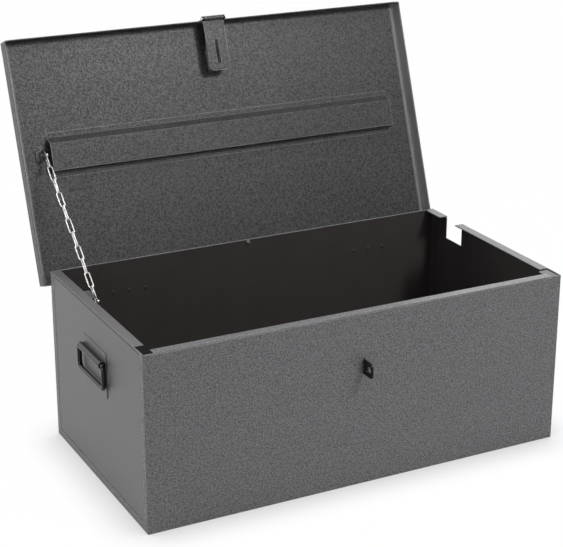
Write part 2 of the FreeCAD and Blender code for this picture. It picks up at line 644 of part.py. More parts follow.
def chain_links():
    """Taut row of links from the open lid's rivet down to the tab's rivet."""
    start_y, start_z = open_lug_point()
    total = math.hypot(TAB_RIVET_Y - start_y, TAB_RIVET_Z - start_z)
    angle = math.degrees(math.atan2(TAB_RIVET_Z - start_z, TAB_RIVET_Y - start_y))
    pairs = (CHAIN_LINKS - 1) / 2
    inner_length = (total - CHAIN_END_LINK_SPAN + 2 * pairs * CHAIN_PLAY) / (2 * pairs)
    edge_span = inner_length - 2 * CHAIN_WIRE_RADIUS - 2 * CHAIN_PLAY
    flat_span = inner_length + 2 * CHAIN_WIRE_RADIUS
    end_inner_length = CHAIN_END_LINK_SPAN + 2 * (CHAIN_WIRE_RADIUS + CHAIN_PLAY)
    links = []
    done = 0
    for i in range(CHAIN_LINKS):
        flat = i % 2 == 1
        last = i == CHAIN_LINKS - 1
        span = CHAIN_END_LINK_SPAN if last else (flat_span if flat else edge_span)
        middle = (done + span / 2) / total
        ring = round_wire_ring(link_path(end_inner_length if last else inner_length, flat), CHAIN_WIRE_RADIUS)
        ring.rotate(Vector(0, 0, 0), Vector(1, 0, 0), angle)
        y = start_y + (TAB_RIVET_Y - start_y) * middle
        z = start_z + (TAB_RIVET_Z - start_z) * middle
        ring.translate(Vector(CHAIN_X, y, z))
        links.append(ring)
        done += span
    return links


def rear_wall_screw():
    """Small screw through the back wall just under its top edge."""
    outside = Vector(WALL_SCREW_X, BACK_Y, WALL_SCREW_Z)
    inside = Vector(WALL_SCREW_X, BACK_Y - SHEET - WALL_NUT_THICK - 1, WALL_SCREW_Z)
    head = rod(WALL_SCREW_HEAD_RADIUS, outside, outside + Vector(0, WALL_SCREW_HEAD, 0))
    return join([head, rod(WALL_SCREW_RADIUS, inside, outside)])


def rear_wall_nut():
    """Hexagon nut on the screw inside the box."""
    corner = WALL_NUT_FLATS / math.sqrt(3)
    y = BACK_Y - SHEET - WALL_NUT_THICK
    centre = Vector(WALL_SCREW_X, y, WALL_SCREW_Z)
    points = []
    for i in range(7):
        turn = math.radians(60 * i)
        points.append(centre + Vector(corner * math.cos(turn), 0, corner * math.sin(turn)))
    nut = Part.Face(Part.makePolygon(points)).extrude(Vector(0, WALL_NUT_THICK, 0))
    return nut.cut(rod(WALL_SCREW_RADIUS, centre - Vector(0, 5, 0), centre + Vector(0, 5, 0)))


def build_body():
    """Write the fixed pieces of the box."""
    save("front_panel", [front_panel()])
    save("back_panel", [back_panel()])
    save("left_end_panel", [mirrored(end_panel())])
    save("right_end_panel", [end_panel().cut(cable_notch())])
    save("floor_pan", [floor_pan()])
    save("left_corner_gusset", [mirrored(corner_gusset())])
    save("right_corner_gusset", [corner_gusset()])
    save("padlock_staple", [padlock_staple()])
    save("rear_wall_screw", [rear_wall_screw()])
    save("rear_wall_nut", [rear_wall_nut()])
    save("chain_tab", [chain_tab()])
    save("tab_chain_rivet", [chain_rivet(TAB_RIVET_Y, TAB_RIVET_Z, TAB_INNER_X - SHEET)])


def build_lid():
    """Write the pieces that open with the lid."""
    save("lid_panel", [opened(lid_panel())])
    save("lid_stiffener", [opened(lid_stiffener())])
    save("lid_chain_lug", [opened(lid_chain_lug())])
    save("lug_chain_rivet", [opened(chain_rivet(LUG_Y, LUG_Z, LUG_INNER_X - LUG_THICK))])
    save("hasp_mount", [opened(hasp_mount())])
    save("hasp_rivets", [opened(piece) for piece in hasp_rivets()])
    save("hasp_pin", [opened(hasp_pin())])
    save("hasp_strap", [opened(hasp_strap())])


def build_hinges():
    """Write both hinges and their rivets."""
    for side, x in (("left", -HINGE_X), ("right", HINGE_X)):
        save(side + "_hinge_body_leaf", [hinge_body_leaf(x)])
        save(side + "_hinge_lid_leaf", [opened(hinge_lid_leaf(x))])
        save(side + "_hinge_pin", [hinge_pin(x)])
    save("hinge_body_rivets", hinge_body_rivets())
    save("hinge_lid_rivets", [opened(piece) for piece in hinge_lid_rivets()])


def build_handles():
    """Write the drop handle on each end."""
    for side, place in (("left", mirrored), ("right", Part.Shape.copy)):
        save(side + "_handle_plate", [place(handle_plate())])
        save(side + "_handle_knuckle", [place(handle_knuckle())])
        save(side + "_handle_bail", [place(handle_bail())])


def build_chain():
    """Write the chain's links, numbered from the lid."""
    for number, link in enumerate(chain_links(), start=1):
        save("chain_link_%02d" % number, [link])


os.makedirs("parts", exist_ok=True)
build_body()
build_lid()
build_hinges()
build_handles()
build_chain()
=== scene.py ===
# %% [markdown]
# # A jobsite storage box
# The box is folded from sheet steel: four walls, a floor pan and a lid like a shallow tray.
# Its shapes come ready from the frame, so this lesson is mostly about finish.
# We meet hammered paint, satin paint, painted shade inside the walls, black enamel and zinc plate, and we
# grow domed rivets and the chain's wire links on points.

# %% Load the frame
import bpy
import math
from mathutils import Matrix, Vector


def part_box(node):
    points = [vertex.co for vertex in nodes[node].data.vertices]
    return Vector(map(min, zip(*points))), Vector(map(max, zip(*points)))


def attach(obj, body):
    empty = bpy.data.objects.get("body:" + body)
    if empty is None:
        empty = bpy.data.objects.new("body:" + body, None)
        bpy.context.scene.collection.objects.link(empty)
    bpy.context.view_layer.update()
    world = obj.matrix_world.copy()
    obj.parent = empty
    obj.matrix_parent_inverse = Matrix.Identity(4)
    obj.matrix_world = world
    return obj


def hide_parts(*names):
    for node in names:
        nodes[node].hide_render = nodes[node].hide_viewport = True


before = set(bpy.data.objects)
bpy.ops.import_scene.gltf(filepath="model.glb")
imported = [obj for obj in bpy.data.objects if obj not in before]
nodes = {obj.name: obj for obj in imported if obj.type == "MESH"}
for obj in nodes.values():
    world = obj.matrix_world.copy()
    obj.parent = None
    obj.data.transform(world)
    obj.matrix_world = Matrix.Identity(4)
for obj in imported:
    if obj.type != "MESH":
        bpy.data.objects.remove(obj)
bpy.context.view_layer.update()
scene = bpy.context.scene
scene.view_settings.view_transform = "Standard"
print("pieces in the frame:", len(nodes))

# %% [markdown]
# # Where the viewer stands
# A long lens a few metres away keeps the box's edges nearly parallel, so that its proportions read true.
# The viewer looks down about twenty degrees and sees the left end, the front and into the open lid.

# %% Camera
VIEW_AZIMUTH = math.radians(27.17)
VIEW_ELEVATION = math.radians(20.29)
VIEW_ROLL = math.radians(0.07)
VIEW_POINT = Vector((-1.2127, -2.2748, 1.2544))
SENSOR_MM = 36.0
LENS_MM = 103.93


def make_camera():
    """A camera at the viewer's eye, turned by the azimuth and elevation."""
    level = math.cos(VIEW_ELEVATION)
    ahead = Vector((
        math.sin(VIEW_AZIMUTH) * level,
        math.cos(VIEW_AZIMUTH) * level,
        -math.sin(VIEW_ELEVATION),
    ))
    right = Vector((math.cos(VIEW_AZIMUTH), -math.sin(VIEW_AZIMUTH), 0.0))
    up = right.cross(ahead)
    lens = bpy.data.cameras.new("camera")
    lens.sensor_width = SENSOR_MM
    lens.lens = LENS_MM
    eye = bpy.data.objects.new("camera", lens)
    turned = Matrix((right, up, -ahead)).transposed() @ Matrix.Rotation(VIEW_ROLL, 3, "Z")
    eye.matrix_world = Matrix.Translation(VIEW_POINT) @ turned.to_4x4()
    scene.collection.objects.link(eye)
    scene.camera = eye


make_camera()
print("the camera stands", round(VIEW_POINT.length, 2), "m from the box")

# %% [markdown]
# # Writing node trees as sums
# A finish is easier to read as a formula than as a web of links.
# Strand wraps one socket, and adding or multiplying strands adds the Math nodes for us.
# Recipe fills one node tree, of a material, the world or a modifier.  Its node method adds any other
# node, and a dictionary beside it says what goes into which socket.

# %% Strand and recipe
class Strand:
    """One output socket, which takes part in sums as a number does."""

    def __init__(self, recipe, socket):
        self.recipe = recipe
        self.socket = socket

    def maths(self, operation, first, second):
        """A Math node on two strands or numbers."""
        return self.recipe.node("ShaderNodeMath", {"operation": operation}, {0: first, 1: second})

    def __add__(self, other):
        return self.maths("ADD", self, other)

    def __radd__(self, other):
        return self.maths("ADD", other, self)

    def __rsub__(self, other):
        return self.maths("SUBTRACT", other, self)

    def __mul__(self, other):
        return self.maths("MULTIPLY", self, other)

    def __rmul__(self, other):
        return self.maths("MULTIPLY", other, self)

    def __gt__(self, other):
        return self.maths("GREATER_THAN", self, other)

    def __lt__(self, other):
        return self.maths("LESS_THAN", self, other)


class Recipe:
    """One node tree, whose nodes are added by formula."""

    def __init__(self, tree):
        self.tree = tree
        self.tree.nodes.clear()

    def node(self, kind, settings, sockets, output=0):
        """Adds a node, first its settings and then its sockets, and gives back one output."""
        made = self.tree.nodes.new(kind)
        for name, value in settings.items():
            setattr(made, name, value)
        for key, value in sockets.items():
            socket = self.find(made.inputs, key)
            for strand in value if isinstance(value, list) else [value]:
                if isinstance(strand, Strand):
                    self.tree.links.new(strand.socket, socket)
                else:
                    socket.default_value = strand
        return None if output is None else Strand(self, self.find(made.outputs, output))

    def find(self, sockets, key):
        """A socket by its number, or by its name among those that the node's settings leave in use."""
        if isinstance(key, int):
            return sockets[key]
        return next(socket for socket in sockets if socket.enabled and socket.name == key)

    def noise(self, size, detail=2.0, roughness=0.5, distortion=0.0):
        """Smooth noise on the frame's own metres, with blots about as large as size."""
        place = self.node("ShaderNodeTexCoord", {}, {}, "Object")
        sockets = {"Vector": place, "Scale": 1.0 / size, "Detail": detail}
        sockets.update({"Roughness": roughness, "Distortion": distortion})
        return self.node("ShaderNodeTexNoise", {}, sockets)

    def spread(self, value, low, high):
        """Stretches value so that low becomes 0 and high becomes 1, and clips it there."""
        sockets = {"Value": value, "From Min": low, "From Max": high}
        return self.node("ShaderNodeMapRange", {}, sockets)

    def mixed(self, mask, first, second):
        """A colour between two, by the mask."""
        sockets = {"Factor": mask, "A": first, "B": second}
        return self.node("ShaderNodeMix", {"data_type": "RGBA"}, sockets, "Result")

    def either(self, mask, first, second):
        """The first shader where the mask is 0 and the second where it is 1."""
        return self.node("ShaderNodeMixShader", {}, {0: mask, 1: first, 2: second})


def grey(level, cool=1.0):
    """A grey with its alpha, bluer where cool is above 1."""
    return (level, level, level * cool, 1.0)


print("recipe methods:", [name for name in vars(Recipe) if not name.startswith("_")])

# %% [markdown]
# # Studio light
# The key lamp stands in front, above and to the right, and throws the strap's shadow down to the left.
# A lamp overhead lifts whatever faces up, and a rake lamp behind the left end draws the handle's shadow.
# Two more are seen by glossy paint alone: one draws lines on bends, from the left, and one brightens the
# lid's upper left and fades from there.

# %% Lamps
BOX_CENTRE = Vector((0.0, 0.0, 0.30))
LAMPS = {
    "key_lamp": dict(direction=(0.36, -0.59, 0.72), distance=2.4, size=0.42, watts=34.0),
    "top_lamp": dict(direction=(0.05, -0.10, 1.0), distance=2.2, size=0.9, watts=14.0),
    "rake_lamp": dict(direction=(-0.80, 0.42, 0.42), distance=3.0, size=0.6, watts=24.0),
    "bend_lamp": dict(direction=(-0.86, -0.42, 0.15), distance=3.0, size=0.9, watts=60.0),
    "sheen_lamp": dict(direction=(0.12, -0.85, 0.56), distance=2.6, size=0.5, watts=9.0),
}
GLOSS_ONLY = ("bend_lamp", "sheen_lamp")


def make_lamp(name, direction, distance, size, watts):
    """A square soft lamp that faces the middle of the box."""
    lamp = bpy.data.lights.new(name, "AREA")
    lamp.shape = "SQUARE"
    lamp.size = size
    lamp.energy = watts
    stand = bpy.data.objects.new(name, lamp)
    stand.visible_diffuse = name not in GLOSS_ONLY
    place = BOX_CENTRE + Vector(direction).normalized() * distance
    facing = (BOX_CENTRE - place).to_track_quat("-Z", "Y").to_matrix().to_4x4()
    stand.matrix_world = Matrix.Translation(place) @ facing
    scene.collection.objects.link(stand)
    print(name, "at", [round(value, 2) for value in place])


for name, settings in LAMPS.items():
    make_lamp(name, **settings)

# %% [markdown]
# # The surround
# A studio is a white sweep behind the object and a dim room behind the viewer.
# The world lights the box evenly, looks white past it, and shows both halves of the room to glossy
# paint.  So the flat tops of the rim pick up the white sweep, while the lid, which faces the room, stays
# dark.

# %% Surround
SURROUND_LEVEL = 0.28
ROOM_GLOSS = 0.10
SWEEP_GLOSS = 2.4
HALVES_FADE = 0.25


def make_surround():
    """A world that is white to the eye, dim and bright by halves to gloss, and even to all else."""
    world = bpy.data.worlds.new("surround")
    world.use_nodes = True
    scene.world = world
    recipe = Recipe(world.node_tree)
    white = {"Color": grey(1.0)}
    aim = recipe.node("ShaderNodeTexCoord", {}, {}, "Generated")
    rearward = recipe.node("ShaderNodeSeparateXYZ", {}, {"Vector": aim}, "Y")
    sweep = recipe.spread(rearward, -HALVES_FADE, HALVES_FADE)
    gloss = ROOM_GLOSS + (SWEEP_GLOSS - ROOM_GLOSS) * sweep
    even = recipe.node("ShaderNodeBackground", {}, dict(white, Strength=SURROUND_LEVEL))
    halves = recipe.node("ShaderNodeBackground", {}, dict(white, Strength=gloss))
    plain = recipe.node("ShaderNodeBackground", {}, dict(white, Strength=1.0))
    by_gloss = recipe.node("ShaderNodeLightPath", {}, {}, "Is Glossy Ray")
    by_eye = recipe.node("ShaderNodeLightPath", {}, {}, "Is Camera Ray")
    shader = recipe.either(by_eye, recipe.either(by_gloss, even, halves), plain)
    recipe.node("ShaderNodeOutputWorld", {}, {"Surface": shader}, None)


make_surround()
print("the surround lights at", SURROUND_LEVEL)

# %% [markdown]
# # What all finishes share
# Paint wears first on outside edges and bends, and a light line painted there also stands in for the
# highlight on a fold.  The Bevel node gives a rounded normal there, and the less it agrees with the real
# normal, the nearer we are to an edge, which makes a mask for wear and painted highlight.
# The same node rounds the bends of folded sheet, so that each one catches a line of light.

# %% Finish
BEVEL_SAMPLES = 6
EDGE_START = 0.02
EDGE_FULL = 0.22


class Finish(Recipe):
    """A paint or a plating."""

    def __init__(self, name):
        self.material = bpy.data.materials.new(name)
        self.material.use_nodes = True
        super().__init__(self.material.node_tree)

    def rounded(self, radius):
        """The normal that the surface would have if its edges were rounded to the radius."""
        return self.node("ShaderNodeBevel", {"samples": BEVEL_SAMPLES}, {"Radius": radius})

    def edges(self, radius):
        """A mask that is 1 on edges and bends that are sharper than the radius."""
        normals = {0: self.rounded(radius), 1: self.node("ShaderNodeNewGeometry", {}, {}, "Normal")}
        likeness = self.node("ShaderNodeVectorMath", {"operation": "DOT_PRODUCT"}, normals, "Value")
        return self.spread(1.0 - likeness, EDGE_START, EDGE_FULL)

    def wear_and_highlight(self, tone, radius, share, bare_and_highlight):
        """The tone, lightened by this share on edges sharper than the radius, as wear and as a painted
        highlight.
        """
        return self.mixed(share * self.edges(radius), tone, bare_and_highlight)

    def bump(self, height, distance, strength, bend=0.0):
        """A normal that follows the height, in shares of distance, and rounds the sheet's bends."""
        sockets = {"Height": height, "Distance": distance, "Strength": strength}
        if bend:
            sockets["Normal"] = self.rounded(bend)
        return self.node("ShaderNodeBump", {}, sockets)

    def coat(self, sockets):
        """A Principled shader with these sockets."""
        return self.node("ShaderNodeBsdfPrincipled", {}, sockets)

    def close(self, shader):
        """Ends the finish in its output and gives back the material."""
        self.node("ShaderNodeOutputMaterial", {}, {"Surface": shader}, None)
        print("finish:", self.material.name, "with", len(self.tree.nodes), "nodes")
        return self.material


print("finish methods:", [name for name in vars(Finish) if not name.startswith("_")])

# %% [markdown]
# Paint outside, painted shade inside
# The walls are sprayed grey outside, while inside they are painted dark and dull with some dust, as
# painted shade.
# One sheet carries both, so its material asks where it is.  Anything deeper in the box than half the
# sheet's thickness gets the painted shade, and the outer faces and the rim's top stay paint.

# %% Painted shade inside the walls
HALF_SHEET = 0.0008
INSIDE_SHADE_DARK = (0.0370, 0.0310, 0.0305, 1.0)
INSIDE_SHADE_LIGHT = (0.0530, 0.0455, 0.0450, 1.0)
INSIDE_SHADE_GLOSS = 0.20
INSIDE_SHADE_ROUGHNESS = 0.50
DUST_ROUGHNESS = 0.15
DUST_SIZE = 0.05
WALL_LOW = Vector((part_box("left_end_panel")[0][0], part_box("front_panel")[0][1], 0.0))
WALL_HIGH = Vector((
    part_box("right_end_panel")[1][0],
    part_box("back_panel")[1][1],
    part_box("back_panel")[1][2],
))


def inside_walls(finish):
    """A mask that is 1 on faces that look into the box."""
    place = finish.node("ShaderNodeTexCoord", {}, {}, "Object")
    mask = 1.0
    for axis, low, high in zip("XYZ", WALL_LOW, WALL_HIGH):
        reach = finish.node("ShaderNodeSeparateXYZ", {}, {"Vector": place}, axis)
        mask = (reach > low + HALF_SHEET) * (reach < high - HALF_SHEET) * mask
    return mask


def painted_inside_shade(finish):
    """The dull dark colour painted inside the walls as shade."""
    dust = finish.noise(DUST_SIZE, detail=3.0, roughness=0.6)
    sockets = {
        "Base Color": finish.mixed(dust, INSIDE_SHADE_DARK, INSIDE_SHADE_LIGHT),
        "Roughness": INSIDE_SHADE_ROUGHNESS + DUST_ROUGHNESS * dust,
        "Specular IOR Level": INSIDE_SHADE_GLOSS,
    }
    return finish.coat(sockets)


def close_paint(finish, sockets, wall):
    """Ends a paint with these sockets.  On a wall it gives way to painted shade inside the box."""
    paint = finish.coat(sockets)
    if wall:
        # Inside the box the wall's paint gives way to a dark colour that is painted shade.
        paint = finish.either(inside_walls(finish), paint, painted_inside_shade(finish))
    return finish.close(paint)


print("walls reach from", [round(v, 3) for v in WALL_LOW], "to", [round(v, 3) for v in WALL_HIGH])

# %% [markdown]
# # Hammered grey paint
# Hammered paint hides scratches on a tool box: as it dries, flakes of metal draw together in small
# shallow cells.  Each cell is a little lighter in the middle, and the film is dimpled between cells.
# We draw the cells with noise a few millimetres across, and let it set tone, gloss and bump alike.
# The lid's cells are larger than the walls', and its whole coat, the hollows most, is painted darker as
# shade.
# The lid's side flanges should look brighter inside than our lamps alone make them, so a mask finds that
# place and paints light there as a lighter tone.

# %% Hammered paint
COOL_TINT = 1.04
SHARP_BEND = 0.0030
WIDE_BEND = 0.0060
LID_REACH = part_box("lid_panel")[1][0]
FLANGE_FADE_FROM = 0.012
FLANGE_FADE_TO = 0.004
FLANGE_SHARE = 0.95
PAINTED_FLANGE_LIGHT = grey(0.38)
# Speck and dimple sizes are in cells
SPECK_SIZE = 0.55
DIMPLE_DEPTH = 0.07
DIMPLE_STRENGTH = 0.9
CELL_SHARE = 0.6
SPECK_SHARE = 0.4
FLAKE_METAL = 0.12
HOLLOW_ROUGHNESS = 0.12
HANDLING_SIZE = 0.16
HANDLING_SHARE = 0.05
HANDLING_TONE = grey(0.30)
HANDLING_ROUGHNESS = 0.06


def flange_light_mask(finish):
    """A mask for the inner faces of the lid's side flanges and the bends beside them, where light is
    painted.
    """
    place = finish.node("ShaderNodeTexCoord", {}, {}, "Object")
    across = finish.node("ShaderNodeSeparateXYZ", {}, {"Vector": place}, "X")
    reach = across.maths("ABSOLUTE", across, 0.0)
    fade = finish.spread(reach, LID_REACH - FLANGE_FADE_FROM, LID_REACH - FLANGE_FADE_TO)
    return FLANGE_SHARE * fade * (reach < LID_REACH - HALF_SHEET)


def hammered_paint(name, cell, dark, light, roughness, gloss, bend=0.0, wall=False, lighter=None):
    """Grey paint with light cells of this size, duller and darker in the hollows between them."""
    finish = Finish(name)
    cells = finish.noise(cell, detail=2.0, roughness=0.6, distortion=0.6)
    cells = finish.spread(cells, low=0.40, high=0.60)
    specks = finish.noise(SPECK_SIZE * cell, detail=1.0, roughness=0.5, distortion=0.4)
    specks = finish.spread(specks, low=0.36, high=0.64)
    grain = CELL_SHARE * cells + SPECK_SHARE * specks
    handling = finish.noise(HANDLING_SIZE, detail=3.0)
    tone = finish.mixed(grain, grey(dark, COOL_TINT), grey(light, COOL_TINT))
    tone = finish.mixed(HANDLING_SHARE * handling, tone, HANDLING_TONE)
    # Edges are lightened as wear and as a painted highlight along the folds.
    tone = finish.wear_and_highlight(tone, radius=0.0018, share=0.75, bare_and_highlight=grey(0.42))
    # Light is painted on the lid's side flanges as a lighter tone.
    if lighter:
        tone = finish.mixed(lighter(finish), tone, PAINTED_FLANGE_LIGHT)
    sockets = {
        "Base Color": tone,
        "Metallic": FLAKE_METAL * grain,
        "Roughness": roughness + HOLLOW_ROUGHNESS * (1.0 - grain) + HANDLING_ROUGHNESS * handling,
        "Specular IOR Level": gloss,
        "Normal": finish.bump(grain, DIMPLE_DEPTH * cell, DIMPLE_STRENGTH, bend),
    }
    return close_paint(finish, sockets, wall)


WALL_COAT = dict(cell=0.0026, dark=0.026, light=0.195, roughness=0.36, gloss=0.5)
# The lid's coat is a darker copy of the walls' paint: painted shade on the lid and its fittings.
SHADED_LID_COAT = dict(cell=0.0034, dark=0.002, light=0.082, roughness=0.26, gloss=0.28)
SHADED_FITTING_COAT = dict(SHADED_LID_COAT, light=0.080)
hammered_walls = hammered_paint("hammered_wall_paint", bend=SHARP_BEND, wall=True, **WALL_COAT)
hammered_lid = hammered_paint("hammered_lid_paint", bend=WIDE_BEND, lighter=flange_light_mask, **SHADED_LID_COAT)
hammered_fittings = hammered_paint("hammered_fitting_paint", **SHADED_FITTING_COAT)

# %% [markdown]
# # Satin grey paint
# The ends, the handle plates and the chain's two brackets are sprayed with the same grey, but it dried
# smooth.  The film has a faint orange peel, and cloudy marks where hands and rags have rubbed it.
# Just below the rim of each end, where the folded sheet tucks under its flange, a dark line is painted as
# its shadow.

# %% Satin paint
SEAM_DROP = 0.0048
SEAM_WIDTH = 0.0030
SEAM_SHARE = 0.95
SEAM_SHADOW_TONE = grey(0.01)
PEEL_STRENGTH = 0.8
SATIN_PEEL_SIZE = 0.0030
SATIN_PEEL_DEPTH = 0.00005
SATIN_CLOUD_SIZE = 0.12
SATIN_CLOUD_DARK = 0.92
SATIN_CLOUD_LIGHT = 1.08
SATIN_CLOUD_METAL = 0.10
SATIN_CLOUD_ROUGHNESS = 0.10


def seam_shadow_mask(finish):
    """A mask that is 1 on the thin line below the rim, where a shadow is painted."""
    place = finish.node("ShaderNodeTexCoord", {}, {}, "Object")
    height = finish.node("ShaderNodeSeparateXYZ", {}, {"Vector": place}, "Z")
    lower = WALL_HIGH.z - SEAM_DROP
    return (height > lower) * (height < lower + SEAM_WIDTH)


def satin_paint(name, tint, roughness, wall):
    """Smooth grey paint with a faint orange peel and cloudy handling marks."""
    finish = Finish(name)
    peel = finish.noise(SATIN_PEEL_SIZE, detail=1.0)
    clouds = finish.noise(SATIN_CLOUD_SIZE, detail=3.0, roughness=0.6)
    dark = grey(tint * SATIN_CLOUD_DARK, COOL_TINT)
    light = grey(tint * SATIN_CLOUD_LIGHT, COOL_TINT)
    tone = finish.mixed(clouds, dark, light)
    tone = finish.wear_and_highlight(tone, radius=0.0012, share=0.5, bare_and_highlight=grey(0.34))
    if wall:
        # A shadow is painted here as a dark line under the rim.
        tone = finish.mixed(SEAM_SHARE * seam_shadow_mask(finish), tone, SEAM_SHADOW_TONE)
    sockets = {
        "Base Color": tone,
        "Metallic": SATIN_CLOUD_METAL * clouds,
        "Roughness": roughness + SATIN_CLOUD_ROUGHNESS * clouds,
        "Normal": finish.bump(peel, SATIN_PEEL_DEPTH, PEEL_STRENGTH, SHARP_BEND),
    }
    return close_paint(finish, sockets, wall)


satin_ends = satin_paint("satin_end_paint", tint=0.115, roughness=0.42, wall=True)
satin_fittings = satin_paint("satin_fitting_paint", tint=0.060, roughness=0.36, wall=False)

# %% [markdown]
# # Black enamel
# The handles' wire and knuckles, the hinges, the corner gussets, the staple and the hasp's mount are
# dipped in black and baked, which leaves a hard glossy skin.  It is thinnest on edges, where a little
# steel grey shows through.
# The hinge rivets go through the back wall, so their heads inside get the walls' painted shade instead.

# %% Enamel
ENAMEL_GLOSS = 0.20
ENAMEL_DARK = grey(0.004)
ENAMEL_LIGHT = grey(0.010)
ENAMEL_PEEL_SIZE = 0.0020
ENAMEL_PEEL_DEPTH = 0.00004
ENAMEL_CLOUD_SIZE = 0.03
ENAMEL_ROUGHNESS = 0.09
ENAMEL_CLOUD_ROUGHNESS = 0.08


def black_enamel(name, wall):
    """Baked black paint, thinner and greyer on edges."""
    finish = Finish(name)
    peel = finish.noise(ENAMEL_PEEL_SIZE, detail=1.0)
    clouds = finish.noise(ENAMEL_CLOUD_SIZE)
    tone = finish.mixed(clouds, ENAMEL_DARK, ENAMEL_LIGHT)
    sockets = {
        "Base Color": finish.wear_and_highlight(tone, radius=0.0008, share=0.25, bare_and_highlight=grey(0.10)),
        "Roughness": ENAMEL_ROUGHNESS + ENAMEL_CLOUD_ROUGHNESS * clouds,
        "Specular IOR Level": ENAMEL_GLOSS,
        "Normal": finish.bump(peel, ENAMEL_PEEL_DEPTH, PEEL_STRENGTH),
    }
    return close_paint(finish, sockets, wall)


enamel = black_enamel("black_enamel", wall=False)
enamel_outside = black_enamel("black_enamel_outside", wall=True)

# %% [markdown]
# # Zinc plate
# The chain, the pins, the small screw and the rivets of chain and hasp are steel with a thin zinc
# plating, bright at first and then cloudy.
# It is a metal, so its colour is what it reflects, and patches of roughness make the cloudiness.

# %% Zinc
ZINC_DARK = (0.37, 0.37, 0.38, 1.0)
ZINC_LIGHT = (0.68, 0.68, 0.67, 1.0)
ZINC_METAL = 0.95
ZINC_CLOUD_METAL = 0.15
ZINC_CLOUD_SIZE = 0.006
ZINC_ROUGHNESS = 0.20
ZINC_CLOUD_ROUGHNESS = 0.14
SCRATCH_SIZE = 0.0012
SCRATCH_DEPTH = 0.00003
SCRATCH_STRENGTH = 0.6


def zinc_plate(name):
    """Bright plating that has gone cloudy in patches."""
    finish = Finish(name)
    clouds = finish.noise(ZINC_CLOUD_SIZE, detail=3.0, roughness=0.6)
    clouds = finish.spread(clouds, low=0.3, high=0.7)
    scratches = finish.noise(SCRATCH_SIZE)
    sockets = {
        "Base Color": finish.mixed(clouds, ZINC_DARK, ZINC_LIGHT),
        "Metallic": ZINC_METAL - ZINC_CLOUD_METAL * clouds,
        "Roughness": ZINC_ROUGHNESS + ZINC_CLOUD_ROUGHNESS * clouds,
        "Normal": finish.bump(scratches, SCRATCH_DEPTH, SCRATCH_STRENGTH),
    }
    return finish.close(finish.coat(sockets))


zinc = zinc_plate("zinc_plate")

# %% [markdown]
# # Painting the pieces
# Each piece of the frame keeps its shape and only gets a finish in its material slots.
# The sheets and a few fittings are picked by name, and all others by the slot that the frame gave them.

# %% Give each piece its finish
FINISH_OF_PIECE = {
    "lid_panel": hammered_lid,
    "lid_stiffener": hammered_fittings,
    "hasp_strap": hammered_fittings,
    "front_panel": hammered_walls,
    "back_panel": hammered_walls,
    "floor_pan": hammered_walls,
    "left_end_panel": satin_ends,
    "right_end_panel": satin_ends,
    "left_handle_plate": satin_ends,
    "right_handle_plate": satin_ends,
    "hasp_mount": enamel,
    "padlock_staple": enamel,
}
FINISH_OF_SLOT = {"grey_paint": satin_fittings, "black_steel": enamel, "zinc": zinc}


def finish_of(piece):
    """The finish a piece gets."""
    slot = piece.material_slots[0].material.name.split(".")[0]
    return FINISH_OF_PIECE.get(piece.name, FINISH_OF_SLOT[slot])


for piece in nodes.values():
    finish = finish_of(piece)
    for slot in piece.material_slots:
        slot.material = finish
print("painted", len(nodes), "pieces")

# %% [markdown]
# # Growing small parts on points
# Rivets and chain links repeat, so Geometry Nodes make them from named sizes.  Each tree ends the same
# way: it sets a copy of its solid on every point, turns it, makes it real mesh and gives it a finish.
# A modifier knows its inputs by their identifiers, which the tree's interface lists beside their names.

# %% Points and trees
SOCKET_KINDS = {
    "Points": "NodeSocketGeometry",
    "Axis": "NodeSocketVector",
    "Finish": "NodeSocketMaterial",
}


class Growth(Recipe):
    """A tree that sets one solid on each point of a mesh."""

    def __init__(self, name, inputs):
        super().__init__(bpy.data.node_groups.new(name, "GeometryNodeTree"))
        interface = self.tree.interface
        interface.new_socket("Geometry", in_out="OUTPUT", socket_type="NodeSocketGeometry")
        for key in ["Points"] + inputs + ["Finish"]:
            kind = SOCKET_KINDS.get(key, "NodeSocketFloat")
            interface.new_socket(key, in_out="INPUT", socket_type=kind)

    def given(self, name):
        """The value of a named input."""
        return self.node("NodeGroupInput", {}, {}, name)

    def joined(self, x, y, z):
        """Three numbers as a vector."""
        return self.node("ShaderNodeCombineXYZ", {}, {"X": x, "Y": y, "Z": z})

    def plant(self, solid, turn):
        """Sets the solid on the points and ends the tree."""
        sockets = {"Points": self.given("Points"), "Instance": solid, "Rotation": turn}
        grown = self.node("GeometryNodeInstanceOnPoints", {}, sockets)
        grown = self.node("GeometryNodeRealizeInstances", {}, {"Geometry": grown})
        grown = self.node("GeometryNodeSetShadeSmooth", {}, {"Geometry": grown})
        sockets = {"Geometry": grown, "Material": self.given("Finish")}
        grown = self.node("GeometryNodeSetMaterial", {}, sockets)
        self.node("NodeGroupOutput", {}, {"Geometry": grown}, None)
        print("tree:", self.tree.name, "with", len(self.tree.nodes), "nodes")


def grow(name, points, growth, values):
    """A plain mesh object that the tree grows on the points."""
    mesh = bpy.data.meshes.new(name)
    mesh.from_pydata(points, [], [])
    piece = bpy.data.objects.new(name, mesh)
    scene.collection.objects.link(piece)
    modifier = piece.modifiers.new("growth", "NODES")
    modifier.node_group = growth.tree
    for item in growth.tree.interface.items_tree:
        if item.in_out == "INPUT" and item.name in values:
            modifier[item.identifier] = values[item.name]
    piece.update_tag()
    evaluated = piece.evaluated_get(bpy.context.evaluated_depsgraph_get())
    grown = bpy.data.meshes.new_from_object(evaluated)
    piece.modifiers.clear()
    piece.data = grown
    print(name, "has", len(grown.polygons), "faces")
    return piece


def put(piece, node, body):
    """Lets a grown piece take a node's place."""
    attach(piece, body)
    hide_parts(node)


def middle(node):
    """The centre of a node's box."""
    low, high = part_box(node)
    return (Vector(low) + Vector(high)) / 2


print("kinds of input:", ["NodeSocketFloat"] + list(SOCKET_KINDS.values()))

